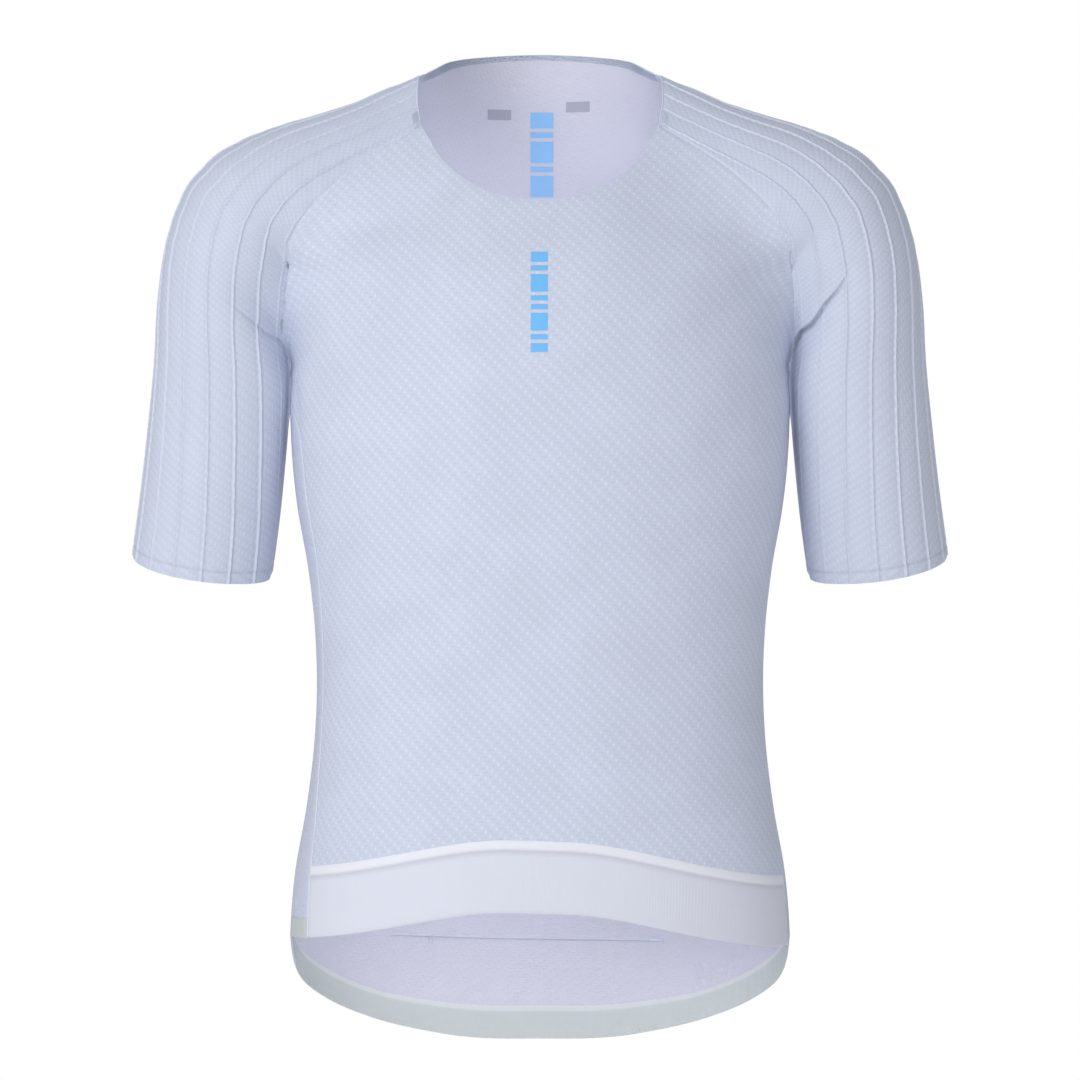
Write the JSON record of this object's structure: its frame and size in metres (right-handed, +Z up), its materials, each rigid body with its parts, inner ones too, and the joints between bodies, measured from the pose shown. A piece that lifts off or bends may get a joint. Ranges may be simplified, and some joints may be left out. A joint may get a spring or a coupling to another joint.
{
  "type": "cycling jersey",
  "caption": "Short-sleeved raglan cycling jersey in pale knit, with a scooped neck, ribbed sleeves, a deep front hem band and a dropped back hem over flat rear pockets.",
  "frame": {"origin": "between the shoulders, level with the side of the neck, on the body's middle line, where the wearer's shoulders hold the jersey up", "axes": "+X towards the wearer's left, +Y towards the wearer's back, +Z up"},
  "size_m": [0.575, 0.2343, 0.709],
  "materials": {
    "mesh_front": "matte dimpled mesh knit, pale lavender",
    "mesh_back": "matte fine mesh knit, pale lavender",
    "ribbed_sleeve": "matte fine knit with thin raised ribs, pale lavender",
    "hem_band": "smooth elastic, near white",
    "gripper": "elastic gripper, pale grey-green",
    "neck_trim": "mesh strip, darker grey"
  },
  "bodies": {
    "root": {"front": "mesh_front", "back": "mesh_back", "back_pockets": "mesh_back", "sleeve_left": "ribbed_sleeve", "sleeve_right": "ribbed_sleeve", "front_hem_band": "hem_band", "back_hem_band": "gripper", "back_neck_band": "neck_trim"}
  },
  "joints": []
}
